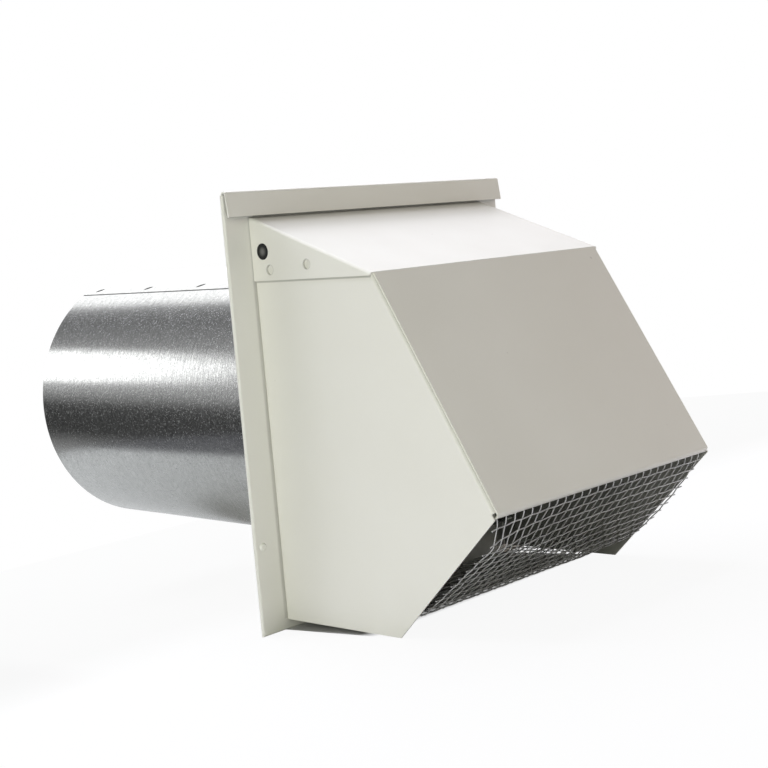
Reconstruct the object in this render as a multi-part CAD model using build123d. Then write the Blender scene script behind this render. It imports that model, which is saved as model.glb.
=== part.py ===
from build123d import *
import math
import os

# Wall cap for a six inch exhaust duct, in millimetres.
# The origin is on the pipe's axis, in the plane of the wall. +Y runs into the wall, +Z is up.
# The hood looks towards -Y. Heights are measured from the pipe's axis.

# Sheet metal
sheet = 0.7                 # painted steel of the plate, the hood's sides and its cover
bend_inner = 0.8            # inside radius of a plain bend in it
seat_gap = 0.1              # paint and play between sheets that lie side by side but aren't joined
flange_lead = 0.5           # a flange's bend starts this far inside the edge of its own sheet
drill_length = 6.0          # cutters for holes reach past two sheets

# Tail pipe
pipe_outer_d = 154.4
pipe_wall = 0.35            # light galvanised steel
pipe_length = 218.4         # from the wall's plane to its open end
groove_depth = 0.8          # rolled groove that holds the plate's hole
plate_hole_gap = 0.3        # plate's hole round the groove's floor
bead_height = 2.8           # ridge that bears on the plate's front
mouth_lip = 3.2             # turned-out edge that the damper closes on
seam_angle = 31.0           # lap seam, degrees from the top towards the left side
lap_width = 13.0
lap_edge = 1.0              # lap strip shows this far past the seam's slot
seam_slot = 0.5
mark_offset = 4.7           # short slanted press marks beside the seam, measured round the pipe
mark_pitch = 50.0
mark_first = 5.7            # from the wall's plane
mark_length = 6.0
mark_width = 0.9
mark_slant = 25.0
seam_cutter = 1.0           # height of the cutters for slot and marks

# Wall plate
side_margin = 15.4          # plate beyond the hood, each side
top_margin = 13.0           # plate above the roof's rear edge
low_margin = 5.6            # plate below the hood's side walls
rim_gap = 0.9               # open space inside the rim's fold
rim_leg = 8.0               # flat of the rim that lies on the wall
lip_height = 12.4           # drip lip, from the plate's top edge to its own lower edge
lip_gap = 1.8               # open space inside the lip's fold
lip_flare = 7.0             # degrees that the lip leans forward
pip_radius = 2.2            # small pressed pip in each side margin
pip_taper = 45.0            # slope of its flanks
pip_sides = 12
pip_height = 0.8
pip_wall = 0.3              # metal thins at its flank
pip_inset = 4.9             # from the plate's side edge
pip_z = -60.1

# Hood, as distances in front of the plate and heights between points of its outer skin
beside_pipe = 10.9          # hood beyond the pipe, each side
under_pipe = 22.6           # side walls' rear corner below the pipe
roof_over_pivot = 17.2      # roof's rear edge above the damper's pivot
knee_out = 80.4
knee_drop = 30.1            # from the roof's rear edge
nose_out = 143.9
nose_rise = 62.9            # above the side walls' front tips
tip_out = 79.8
tip_rise = 1.5              # above their rear corners
tab_drop = 1.5              # cover's side tabs reach below the knee
roof_flange = 8.0           # upturned rear edge of the roof, inside the drip lip
panel_margin = 2.3          # front panel stops this far inside the hood's side, each side
nose_hem_inner = 1.5        # inside radius of the rolled edge at the nose
nose_hem_leg = 6.0
front_flange = 12.0         # side walls' inward flanges behind the front panel
knee_notch = 0.3            # they start this far below the side wall's upper corner
rear_flange = 6.5           # and against the plate, beside the pipe
side_top_gap = 1.1          # side wall's top edge below the roof sheet

# Press-clinched joints between tab and side wall, in front of the plate and above the tab's lower edge
clinch_places = [(12.4, 5.3), (38.8, 7.0)]
clinch_radius = 2.4         # inside radius of the pressed cup
clinch_depth = 0.9          # how far the cup stands behind its sheet
clinch_wall = 0.35          # metal thins as it is pressed

# Damper and its pivot
pivot_out = 8.2
pivot_over_pipe = 8.6
rod_d = 4.8
rod_end_gap = 0.3           # rod's ends to the bushings' closed ends
knuckle_gap = 0.05          # flap's rolled edge round the rod
flap_sheet = 0.5
flap_side_gap = 0.7         # to the bushings' collars
flap_lap = 4.2              # flap's lower edge below the pipe
flap_flange = 5.0           # edges turned forward for stiffness
flap_relief = 12.0          # side flanges start this far below the pivot
flap_corner_gap = 1.0       # notch between the lower flange and the side flanges
flap_seat_gap = 0.3         # closed flap to the pipe's mouth
running_gap = 0.06          # rod in the bushings' bores
bushing_outer_d = 8.0
bushing_fit = 0.05          # bushing in the hood's holes
bushing_collar_d = 12.0
bushing_collar = 3.0        # collar's thickness inside the hood
bushing_web = 1.0           # closed outer end

# Wire screen
wire_d = 0.65               # across the flats of the wire's section
wire_sides = 6
mesh_pitch = 6.35
screen_left_gap = 4.7       # first long wire to the left side wall
cross_end = 3.4             # cross wires run on past the outer long wires
screen_top_count = 1        # cells behind the nose's rolled edge
screen_front_count = [2, 2, 3, 2, 2]
screen_front_turn = 5.6     # degrees between those runs
screen_low_count = 10
screen_low_slope = 5.0      # degrees that the lower part falls towards the wall

# Worked out from the sizes above
front = -(2 * sheet + rim_gap)
rim_outer = sheet + rim_gap / 2
pipe_r = pipe_outer_d / 2
pipe_inner_r = pipe_r - pipe_wall
groove_r = pipe_r - groove_depth
groove_end = front + sheet + seat_gap + groove_depth
half_hood = pipe_r + beside_pipe
half_plate = half_hood + side_margin
side_x = half_hood - sheet
wall_inner_x = side_x - sheet
pip_x = half_plate - pip_inset
pivot_z = pipe_r + pivot_over_pipe
roof_rear_z = pivot_z + roof_over_pivot
heel_z = -(pipe_r + under_pipe)
tip_z = heel_z + tip_rise
plate_above = roof_rear_z + top_margin
plate_below = low_margin - heel_z
knee_z = roof_rear_z - knee_drop
nose_z = tip_z + nose_rise
tab_low_z = knee_z - tab_drop
half_flap = half_hood - 2 * sheet - bushing_collar - flap_side_gap
flap_low_z = -(pipe_r + flap_lap)
screen_left_x = screen_left_gap - wall_inner_x
screen_space = 2 * wall_inner_x - screen_left_gap - cross_end - seat_gap
screen_long_count = int(screen_space / mesh_pitch) + 1
pivot_y = front - pivot_out
rod_r = rod_d / 2
knuckle_inner = rod_r + knuckle_gap
flap_back_y = pivot_y - knuckle_inner
mouth_y = flap_back_y + flap_seat_gap
roof_rear = (front - sheet, roof_rear_z)
knee = (front - knee_out, knee_z)
nose = (front - nose_out, nose_z)
tip = (front - tip_out, tip_z)
heel = (front, heel_z)


def unit(a, b):
    """Direction from a to b."""
    length = math.dist(a, b)
    return ((b[0] - a[0]) / length, (b[1] - a[1]) / length)


def shifted(point, direction, amount):
    """Point moved along a direction."""
    return (point[0] + direction[0] * amount, point[1] + direction[1] * amount)


def crossing(a, u, b, v):
    """Where the line through a along u meets the line through b along v."""
    det = u[0] * v[1] - u[1] * v[0]
    s = ((b[0] - a[0]) * v[1] - (b[1] - a[1]) * v[0]) / det
    return shifted(a, u, s)


def heading_of(direction):
    """Angle of a direction, in degrees."""
    return math.degrees(math.atan2(direction[1], direction[0]))


def turn_between(u, v):
    """Signed turn from direction u to direction v, left turns positive."""
    return (heading_of(v) - heading_of(u) + 180.0) % 360.0 - 180.0


def run(length):
    """Straight stretch of a folded sheet."""
    return ("run", length, 0.0)


def bend(angle, inner):
    """Bend of a folded sheet, left turns positive, with its inside radius."""
    return ("bend", angle, inner)


def crease(angle):
    """Sharp corner of a folded sheet."""
    return ("crease", angle, 0.0)


def folded(start, heading, moves, thickness):
    """Face of a folded sheet's section. The moves follow one skin and the metal lies on their left."""
    skin = []
    back = []
    at = start
    angle = math.radians(heading)
    behind = (at[0] - math.sin(angle) * thickness, at[1] + math.cos(angle) * thickness)
    close_start = Line(behind, at)
    for kind, amount, inner in moves:
        normal = (-math.sin(angle), math.cos(angle))
        if kind == "run":
            ahead = (math.cos(angle), math.sin(angle))
            after = shifted(at, ahead, amount)
            after_behind = shifted(after, normal, thickness)
            skin.append(Line(at, after))
            back.append(Line(after_behind, behind))
        elif kind == "bend":
            turn = math.radians(amount)
            side = 1.0 if turn > 0 else -1.0
            skin_r = inner + thickness if turn > 0 else inner
            back_r = inner if turn > 0 else inner + thickness
            centre = shifted(at, normal, side * skin_r)
            ends = []
            for radius in (skin_r, back_r):
                arc = []
                for share in (0.5, 1.0):
                    way = angle + turn * share
                    arc.append(shifted(centre, (math.sin(way), -math.cos(way)), side * radius))
                ends.append(arc)
            after = ends[0][1]
            after_behind = ends[1][1]
            skin.append(ThreePointArc(at, ends[0][0], after))
            back.append(ThreePointArc(after_behind, ends[1][0], behind))
            angle += turn
        else:
            turn = math.radians(amount)
            new_normal = (-math.sin(angle + turn), math.cos(angle + turn))
            share = thickness / (1.0 + math.cos(turn))
            after = at
            corner = shifted(shifted(at, normal, share), new_normal, share)
            skin_line = back.pop()
            back.append(Line(corner, skin_line @ 1))
            after_behind = corner
            angle += turn
        at = after
        behind = after_behind
    close_end = Line(at, behind)
    return make_face(Wire([close_start] + skin + [close_end] + list(reversed(back))))


def along(points, inner, thickness):
    """Runs and bends of a sheet whose followed skin turns at the given corner points."""
    moves = []
    cut = 0.0
    for before, corner, after in zip(points, points[1:], points[2:]):
        turn = turn_between(unit(before, corner), unit(corner, after))
        radius = inner + (thickness if turn > 0 else 0.0)
        setback = radius * math.tan(math.radians(abs(turn)) / 2)
        moves.append(run(math.dist(before, corner) - cut - setback))
        moves.append(bend(turn, inner))
        cut = setback
    moves.append(run(math.dist(points[-2], points[-1]) - cut))
    return moves


def spread(section, half_width):
    """Solid of a section drawn in the Y and Z directions, as wide each side of the middle."""
    return extrude(Plane.YZ * section, amount=half_width, both=True)


def pressed_cup(centre, face_x, inward, inner_r):
    """Cutter and cup of one clinch in a sheet whose outer face is at face_x."""
    y, z = centre
    deep = sheet + clinch_depth
    place = Plane(origin=(face_x, y, z), x_dir=(0, 1, 0), z_dir=(inward, 0, 0))
    hollow = place * Cylinder(inner_r, deep - clinch_wall, align=(Align.CENTER, Align.CENTER, Align.MIN))
    outside = place * Cylinder(inner_r + clinch_wall, deep, align=(Align.CENTER, Align.CENTER, Align.MIN))
    return outside, hollow


def clinched(part, face_x, inward, inner_r):
    """Sheet with its clinch cups pressed in."""
    for out, rise in clinch_places:
        outside, hollow = pressed_cup((front - out, tab_low_z + rise), face_x, inward, inner_r)
        part = part + outside - hollow
    return part


def drilled(part, diameter, depth_x):
    """Sheet at one side of the hood with the pivot's hole through it."""
    tool = Plane(origin=(depth_x, pivot_y, pivot_z), z_dir=(1, 0, 0)) * Cylinder(diameter / 2, drill_length)
    return part - tool


def wall_plate():
    """Square plate with a folded rim on three edges and the drip lip on the fourth."""
    lip_outer = sheet + lip_gap / 2
    flat_low = -plate_below + rim_outer
    flat_high = plate_above - lip_outer
    flat_half = half_plate - rim_outer
    plate = Pos(0, front + sheet / 2, (flat_low + flat_high) / 2) * Box(2 * flat_half, sheet, flat_high - flat_low)

    rim_start = (-flat_half, front + rim_outer, flat_high)
    rim_path = Polyline(
        rim_start,
        (-flat_half, front + rim_outer, flat_low),
        (flat_half, front + rim_outer, flat_low),
        (flat_half, front + rim_outer, flat_high),
    )
    rim_section = folded((0, rim_outer), 180.0, [bend(180.0, rim_gap / 2), run(rim_leg)], sheet)
    plate += sweep(
        sections=Plane(origin=rim_start, x_dir=(1, 0, 0), z_dir=(0, 0, -1)) * rim_section,
        path=rim_path,
        transition=Transition.RIGHT,
    )

    flare = math.radians(lip_flare)
    leg = (lip_height - lip_outer + lip_outer * math.sin(flare)) / math.cos(flare)
    lip_moves = [bend(180.0 - lip_flare, lip_gap / 2), run(leg)]
    plate += spread(folded((front + sheet, flat_high), 90.0, lip_moves, sheet), half_plate)

    hole = Plane(origin=(0, front, 0), z_dir=(0, 1, 0)) * Cylinder(groove_r + plate_hole_gap, drill_length)
    plate -= hole
    for side in (-1, 1):
        place = Plane(origin=(side * pip_x, front, pip_z), z_dir=(0, -1, 0))
        plate += place * extrude(RegularPolygon(pip_radius, pip_sides), pip_height, taper=pip_taper)
        hollow = RegularPolygon(pip_radius - pip_wall, pip_sides)
        plate -= place * Pos(0, 0, -sheet) * extrude(hollow, sheet)
        plate -= place * extrude(hollow, pip_height - pip_wall, taper=pip_taper)
    return plate


def tail_pipe():
    """Lap-seamed pipe that passes through the plate and bears on it with a ridge."""
    moves = [
        run(pipe_length - groove_end),
        crease(45.0),
        run(groove_depth * math.sqrt(2)),
        crease(-45.0),
        run(groove_end - groove_depth - front),
        crease(-90.0),
        run(groove_depth + bead_height),
        crease(135.0),
        run(bead_height * math.sqrt(2)),
        crease(-45.0),
        run(front - mouth_y - bead_height - pipe_wall),
        crease(-90.0),
        run(mouth_lip),
    ]
    section = folded((pipe_length, pipe_r), 180.0, moves, pipe_wall)
    pipe = revolve(Plane.YZ * section, axis=Axis.Y)
    return pipe


def seam_place(angle_shift, y):
    """Plane on the pipe's wall at the seam, its Z axis pointing out and its X axis along the pipe."""
    angle = math.radians(seam_angle + angle_shift)
    out = (-math.sin(angle), 0, math.cos(angle))
    origin = (out[0] * pipe_inner_r, y, out[2] * pipe_inner_r)
    return Plane(origin=origin, x_dir=(0, 1, 0), z_dir=out)


def with_seam(pipe):
    """Pipe with its overlapped seam: an open edge outside, a lap strip inside and press marks."""
    lap = math.degrees(lap_width / pipe_inner_r)
    edge = math.degrees(lap_edge / pipe_inner_r)
    middle = (pipe_length + groove_end) / 2
    under = Pos(middle, pipe_inner_r - pipe_wall / 2) * Rectangle(pipe_length - groove_end, pipe_wall)
    strip = Rot(0, -(seam_angle + edge), 0) * revolve(Plane.YZ * under, axis=Axis.Y, revolution_arc=lap)
    pipe = pipe + strip
    slot = Box(pipe_length, seam_slot, seam_cutter, align=(Align.MIN, Align.CENTER, Align.MIN))
    pipe -= seam_place(0.0, mark_first) * slot
    beside = -math.degrees(mark_offset / pipe_r)
    y = mark_first
    while y < pipe_length - mark_length:
        mark = Rot(0, 0, mark_slant) * Box(
            mark_length, mark_width, seam_cutter, align=(Align.CENTER, Align.CENTER, Align.MIN)
        )
        pipe -= seam_place(beside, y) * mark
        y += mark_pitch
    return pipe


def hood_side():
    """Left side wall of the hood, with inward flanges against the plate and the front panel."""
    bend_outer = bend_inner + sheet
    roof_way = unit(roof_rear, knee)
    panel_way = unit(knee, nose)
    edge_way = unit(nose, tip)
    roof_in = (-roof_way[1], roof_way[0])
    panel_in = (-panel_way[1], panel_way[0])

    top_line = shifted(knee, roof_in, sheet + side_top_gap)
    front_line = shifted(knee, panel_in, sheet + bend_outer)
    rear_line = (front - bend_outer, 0)
    down = (0, -1)
    outline = Polyline(
        crossing(top_line, roof_way, rear_line, down),
        crossing(top_line, roof_way, front_line, panel_way),
        crossing(front_line, panel_way, nose, edge_way),
        tip,
        crossing(tip, unit(tip, heel), rear_line, down),
        close=True,
    )
    flat = Plane(origin=(-side_x, 0, 0), x_dir=(0, 1, 0), z_dir=(1, 0, 0)) * make_face(outline)
    side = extrude(flat, amount=sheet)

    top_of_rear = crossing(top_line, roof_way, rear_line, down)[1]
    rear_moves = [run(flange_lead), bend(-90.0, bend_inner), run(rear_flange - bend_outer)]
    rear = folded((-side_x + sheet, front - bend_outer - flange_lead), 90.0, rear_moves, sheet)
    side += extrude(Pos(0, 0, heel_z) * rear, amount=top_of_rear - heel_z)

    start = shifted(crossing(top_line, roof_way, front_line, panel_way), panel_way, knee_notch)
    end = shifted(nose, panel_way, -(nose_hem_inner + sheet + 2 * seat_gap))
    length = (end[0] - start[0]) * panel_way[0] + (end[1] - start[1]) * panel_way[1]
    front_moves = [run(flange_lead), bend(-90.0, bend_inner), run(front_flange - bend_outer)]
    at_front = Plane(
        origin=(-side_x, start[0], start[1]),
        x_dir=(1, 0, 0),
        z_dir=(0, panel_way[0], panel_way[1]),
    )
    towards_panel = folded((sheet, -flange_lead), 90.0, front_moves, sheet)
    if at_front.y_dir.dot(Vector(0, panel_in[0], panel_in[1])) > 0:
        towards_panel = mirror(towards_panel, Plane.XZ)
    side += extrude(at_front * towards_panel, amount=length)

    side = clinched(side, -side_x, 1, clinch_radius + clinch_wall)
    return drilled(side, bushing_outer_d + 2 * bushing_fit, -side_x)


def hood_cover():
    """Roof, front panel and side tabs, folded from one sheet, with a rolled edge at the nose."""
    hem_outer = nose_hem_inner + sheet
    panel_end = shifted(nose, unit(knee, nose), -hem_outer)
    skin = [(roof_rear[0], roof_rear[1] + roof_flange), roof_rear, knee, panel_end]
    moves = along(skin, bend_inner, sheet)
    moves += [bend(180.0, nose_hem_inner), run(nose_hem_leg)]
    cover = spread(folded(skin[0], -90.0, moves, sheet), half_hood - panel_margin)

    roof_way = unit(roof_rear, knee)
    roof_length = math.dist(roof_rear, knee)
    drop = roof_rear_z - tab_low_z + bend_inner
    tab_outer = bend_inner + sheet
    across = 2 * (half_hood - tab_outer)
    arch_moves = [run(drop), bend(90.0, bend_inner), run(across), bend(90.0, bend_inner), run(drop)]
    arch = folded((half_hood, -drop - tab_outer), 90.0, arch_moves, sheet)
    at_rear = Plane(
        origin=(0, roof_rear[0], roof_rear[1]),
        x_dir=(-1, 0, 0),
        z_dir=(0, roof_way[0], roof_way[1]),
    )
    if at_rear.y_dir.Z < 0:
        at_rear = Plane(origin=at_rear.origin, x_dir=(1, 0, 0), z_dir=at_rear.z_dir)
    tabs = extrude(at_rear * Pos(0, 0, -roof_length) * arch, amount=2 * roof_length)
    keep = make_face(
        Polyline(
            (front - seat_gap, tab_low_z),
            (front - seat_gap, roof_rear_z + roof_flange),
            (knee[0], roof_rear_z + roof_flange),
            (knee[0], tab_low_z),
            close=True,
        )
    )
    cover += tabs & spread(keep, half_hood)
    for side in (-1, 1):
        cover = clinched(cover, side * half_hood, -side, clinch_radius)
        cover = drilled(cover, bushing_outer_d + 2 * bushing_fit, side * half_hood)
    return cover


def damper_flap():
    """Flap that hangs from the rod, rolled round it, with its other edges turned forward."""
    edge = bend_inner + flap_sheet
    hang = pivot_z - flap_low_z - edge
    moves = [run(flap_flange - edge), bend(90.0, bend_inner), run(hang), bend(-270.0, knuckle_inner)]
    section = folded((flap_back_y - flap_flange, flap_low_z), 0.0, moves, flap_sheet)
    flap = spread(section, half_flap - edge - flap_corner_gap)
    side_moves = [
        run(flap_flange - edge),
        bend(90.0, bend_inner),
        run(2 * (half_flap - edge)),
        bend(90.0, bend_inner),
        run(flap_flange - edge),
    ]
    tray = folded((half_flap, flap_back_y - flap_flange), 90.0, side_moves, flap_sheet)
    low = flap_low_z + edge
    flap += extrude(Pos(0, 0, low) * tray, amount=pivot_z - flap_relief - low)
    return flap


def damper_rod():
    """Plain rod that the flap is rolled round."""
    length = 2 * (half_hood - bushing_web - rod_end_gap)
    return Plane(origin=(0, pivot_y, pivot_z), z_dir=(1, 0, 0)) * Cylinder(rod_r, length)


def bushing():
    """Left bushing: a barrel through tab and side wall, closed outside, with a collar inside the hood."""
    place = Plane(origin=(-half_hood, pivot_y, pivot_z), z_dir=(1, 0, 0))
    low = (Align.CENTER, Align.CENTER, Align.MIN)
    length = 2 * sheet + bushing_collar
    barrel = Cylinder(bushing_outer_d / 2, length, align=low)
    collar = Pos(0, 0, 2 * sheet) * Cylinder(bushing_collar_d / 2, bushing_collar, align=low)
    bore = Pos(0, 0, bushing_web) * Cylinder(rod_r + running_gap, length - bushing_web, align=low)
    return place * (barrel + collar - bore)


def screen_route():
    """Corners of a long wire's middle line, from behind the nose's rolled edge to the rear edge."""
    panel_way = unit(knee, nose)
    panel_in = (-panel_way[1], panel_way[0])
    hem_outer = nose_hem_inner + sheet
    behind_hem = shifted(nose, panel_in, 2 * hem_outer + wire_d / 2)
    start = shifted(behind_hem, panel_way, -screen_top_count * mesh_pitch)
    points = [start, behind_hem]
    chord = heading_of(unit(nose, tip))
    runs = len(screen_front_count)
    angle = chord - screen_front_turn * (runs - 1) / 2
    for cells in screen_front_count:
        way = (math.cos(math.radians(angle)), math.sin(math.radians(angle)))
        points.append(shifted(points[-1], way, cells * mesh_pitch))
        angle += screen_front_turn
    low = math.radians(-screen_low_slope)
    points.append(shifted(points[-1], (math.cos(low), math.sin(low)), screen_low_count * mesh_pitch))
    return points


def wire_screen():
    """Quarter inch wire cloth: long wires folded to the mouth's shape, cross wires laid inside them."""
    route = screen_route()
    wires = []
    last_x = screen_left_x + (screen_long_count - 1) * mesh_pitch
    path = Polyline(*[(0, y, z) for y, z in route])
    outline = RegularPolygon(wire_d / 2, wire_sides, major_radius=False)
    section = Plane(origin=path @ 0, x_dir=(1, 0, 0), z_dir=path % 0) * outline
    long_wire = sweep(sections=section, path=path, transition=Transition.RIGHT)
    for index in range(screen_long_count):
        wires.append(Pos(screen_left_x + index * mesh_pitch, 0, 0) * long_wire)
    length = last_x - screen_left_x + 2 * cross_end
    for a, b in zip(route, route[1:]):
        way = unit(a, b)
        inward = (-way[1], way[0])
        cells = round(math.dist(a, b) / mesh_pitch)
        for cell in range(cells):
            y, z = shifted(shifted(a, way, (cell + 0.5) * mesh_pitch), inward, wire_d)
            place = Plane(origin=((screen_left_x + last_x) / 2, y, z), x_dir=(0, way[0], way[1]), z_dir=(1, 0, 0))
            wires.append(extrude(place * outline, amount=length / 2, both=True))
    return Compound(children=wires)


def write(name, shape):
    """Writes one piece to its own file."""
    export_step(shape, os.path.join("parts", name + ".step"))


def main():
    """Builds every piece and writes it."""
    os.makedirs("parts", exist_ok=True)
    left_side = hood_side()
    left_bushing = bushing()
    write("wall_plate", wall_plate())
    write("tail_pipe", with_seam(tail_pipe()))
    write("hood_side_left", left_side)
    write("hood_side_right", mirror(left_side, Plane.YZ))
    write("hood_cover", hood_cover())
    write("damper_flap", damper_flap())
    write("damper_rod", damper_rod())
    write("pivot_bushing_left", left_bushing)
    write("pivot_bushing_right", mirror(left_bushing, Plane.YZ))
    write("wire_screen", wire_screen())


main()
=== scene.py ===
import logging
import math
from dataclasses import dataclass, field
from enum import Enum
from functools import reduce

import bmesh
import bpy
from bpy.types import Material, Mesh, MeshPolygon, Node, NodeSocket, NodeTree, Object
from mathutils import Matrix, Vector


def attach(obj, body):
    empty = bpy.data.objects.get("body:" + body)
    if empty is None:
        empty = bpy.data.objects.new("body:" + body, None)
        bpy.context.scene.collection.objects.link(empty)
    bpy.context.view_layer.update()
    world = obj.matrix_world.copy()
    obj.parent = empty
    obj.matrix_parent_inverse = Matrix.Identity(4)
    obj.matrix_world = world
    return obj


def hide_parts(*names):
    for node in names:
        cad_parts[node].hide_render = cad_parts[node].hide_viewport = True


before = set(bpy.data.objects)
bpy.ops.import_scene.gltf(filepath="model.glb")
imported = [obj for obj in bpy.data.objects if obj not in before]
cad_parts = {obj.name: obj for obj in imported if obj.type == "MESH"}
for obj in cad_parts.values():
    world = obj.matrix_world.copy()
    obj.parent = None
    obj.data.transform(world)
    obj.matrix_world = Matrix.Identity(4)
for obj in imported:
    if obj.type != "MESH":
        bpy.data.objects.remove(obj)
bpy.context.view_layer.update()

LOG = logging.getLogger("wall_cap")
MM = 0.001
FIXED_BODY = "root"
WELD = 0.004 * MM
NOISE_MIDDLE = (0.3, 0.7)
MIX_FIRST, MIX_SECOND, MIX_RESULT = 6, 7, 2

Colour = tuple[float, float, float]
Span = tuple[float, float]


class Slot(Enum):
    """Names of material slots for the scene's own pieces; no piece is given one here."""

    PAINTED = "painted_sheet"
    PIPE = "galvanised_pipe"
    WIRE = "galvanised_wire"


class Graph:
    """Small builder for a tree of nodes."""

    def __init__(self, tree: NodeTree) -> None:
        """Takes the tree that it fills."""
        self.tree = tree

    def put(self, socket: NodeSocket, value: object) -> None:
        """Links an output into an input, or sets a plain value on it.

        Args:
            socket: the input.
            value: another node's output, a number, a vector or a colour, which is made opaque.
        """
        if isinstance(value, NodeSocket):
            self.tree.links.new(value, socket)
        elif socket.type == "RGBA":
            socket.default_value = (*value, 1.0)
        else:
            socket.default_value = value

    def node(
        self, kind: str, settings: dict[str, object] | None = None, *values: object, **named: object
    ) -> Node:
        """Adds a node.

        Args:
            kind: the node's type.
            settings: its properties.
            values: its first inputs, in their order.
            named: its inputs by name, with underscores for blanks.

        Returns:
            The node.
        """
        made = self.tree.nodes.new(kind)
        for name, value in (settings or {}).items():
            setattr(made, name, value)
        for socket, value in zip(made.inputs, values):
            self.put(socket, value)
        for name, value in named.items():
            self.put(made.inputs[name.replace("_", " ")], value)
        return made

    def math(self, operation: str, *values: object) -> NodeSocket:
        """One arithmetic step, by its name, on outputs or numbers."""
        return self.node("ShaderNodeMath", {"operation": operation}, *values).outputs["Value"]

    def product(self, *values: object) -> NodeSocket:
        """Product of outputs and numbers."""
        return reduce(lambda first, second: self.math("MULTIPLY", first, second), values)

    def between(self, value: NodeSocket, low: object, high: object) -> NodeSocket:
        """Value that is held between two others."""
        return self.math("MINIMUM", self.math("MAXIMUM", value, low), high)

    def axes(self, vector: NodeSocket) -> tuple[NodeSocket, ...]:
        """X, Y and Z of a vector."""
        return tuple(self.node("ShaderNodeSeparateXYZ", {}, vector).outputs)

    def away(self, spot: tuple[NodeSocket, NodeSocket], centre: Span) -> NodeSocket:
        """Distance between a spot and a centre, both given by two coordinates."""
        squares = [self.math("POWER", self.math("SUBTRACT", at, mid), 2.0) for at, mid in zip(spot, centre)]
        return self.math("SQRT", self.math("ADD", *squares))


class ShaderGraph(Graph):
    """Builder for one material's nodes."""

    def __init__(self, name: str) -> None:
        """Starts an empty material.

        Args:
            name: the material's name.
        """
        self.material = bpy.data.materials.new(name)
        self.material.use_nodes = True
        super().__init__(self.material.node_tree)
        self.tree.nodes.clear()
        self.output = self.node("ShaderNodeOutputMaterial")
        self.coords = self.node("ShaderNodeTexCoord").outputs["Object"]

    def stretched(self, scale: Colour) -> NodeSocket:
        """Object coordinates, stretched along X, Y and Z."""
        return self.node("ShaderNodeMapping", Vector=self.coords, Scale=scale).outputs["Vector"]

    def noise(
        self, per_metre: float, detail: float = 3.0, roughness: float = 0.55, vector: NodeSocket | None = None
    ) -> NodeSocket:
        """Noise on the object's coordinates.

        Args:
            per_metre: waves in a metre.
            detail: octaves.
            roughness: how strong the finer octaves are.
            vector: coordinates, the object's own if left out.

        Returns:
            The noise's value, about 0.5 in the middle.
        """
        place = self.coords if vector is None else vector
        settings = {"Scale": per_metre, "Detail": detail, "Roughness": roughness}
        return self.node("ShaderNodeTexNoise", Vector=place, **settings).outputs["Fac"]

    def cells(self, per_metre: float) -> NodeSocket:
        """Random grey, from 0 to 1, for each cell of a crystal pattern."""
        crystals = self.node("ShaderNodeTexVoronoi", Vector=self.coords, Scale=per_metre)
        return self.node("ShaderNodeSeparateColor", Color=crystals.outputs["Color"]).outputs["Red"]

    def spread(
        self,
        value: NodeSocket,
        low: float = NOISE_MIDDLE[0],
        high: float = NOISE_MIDDLE[1],
        at_low: float = 0.0,
        at_high: float = 1.0,
    ) -> NodeSocket:
        """Maps the range from low to high onto that from at_low to at_high, and holds it there."""
        return self.node("ShaderNodeMapRange", {}, value, low, high, at_low, at_high).outputs["Result"]

    def blend(self, share: object, first: object, second: object) -> NodeSocket:
        """Colour between two colours.

        Args:
            share: 0 for the first, 1 for the second.
            first: a colour or an output.
            second: a colour or an output.

        Returns:
            The mixed colour.
        """
        made = self.node("ShaderNodeMix", {"data_type": "RGBA"}, share)
        self.put(made.inputs[MIX_FIRST], first)
        self.put(made.inputs[MIX_SECOND], second)
        return made.outputs[MIX_RESULT]

    def relief(self, height: NodeSocket, depth: float, below: NodeSocket | None = None) -> NodeSocket:
        """Normal of a relief that is so many metres deep, laid on another one if that is given."""
        laid = {} if below is None else {"Normal": below}
        return self.node("ShaderNodeBump", Height=height, Distance=depth, **laid).outputs["Normal"]

    def surface(self, **sockets: object) -> Material:
        """Closes the tree with the main shader.

        Args:
            sockets: its inputs by name, with underscores for blanks.

        Returns:
            The finished material.
        """
        shader = self.node("ShaderNodeBsdfPrincipled", **sockets)
        self.put(self.output.inputs["Surface"], shader.outputs["BSDF"])
        return self.material


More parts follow.
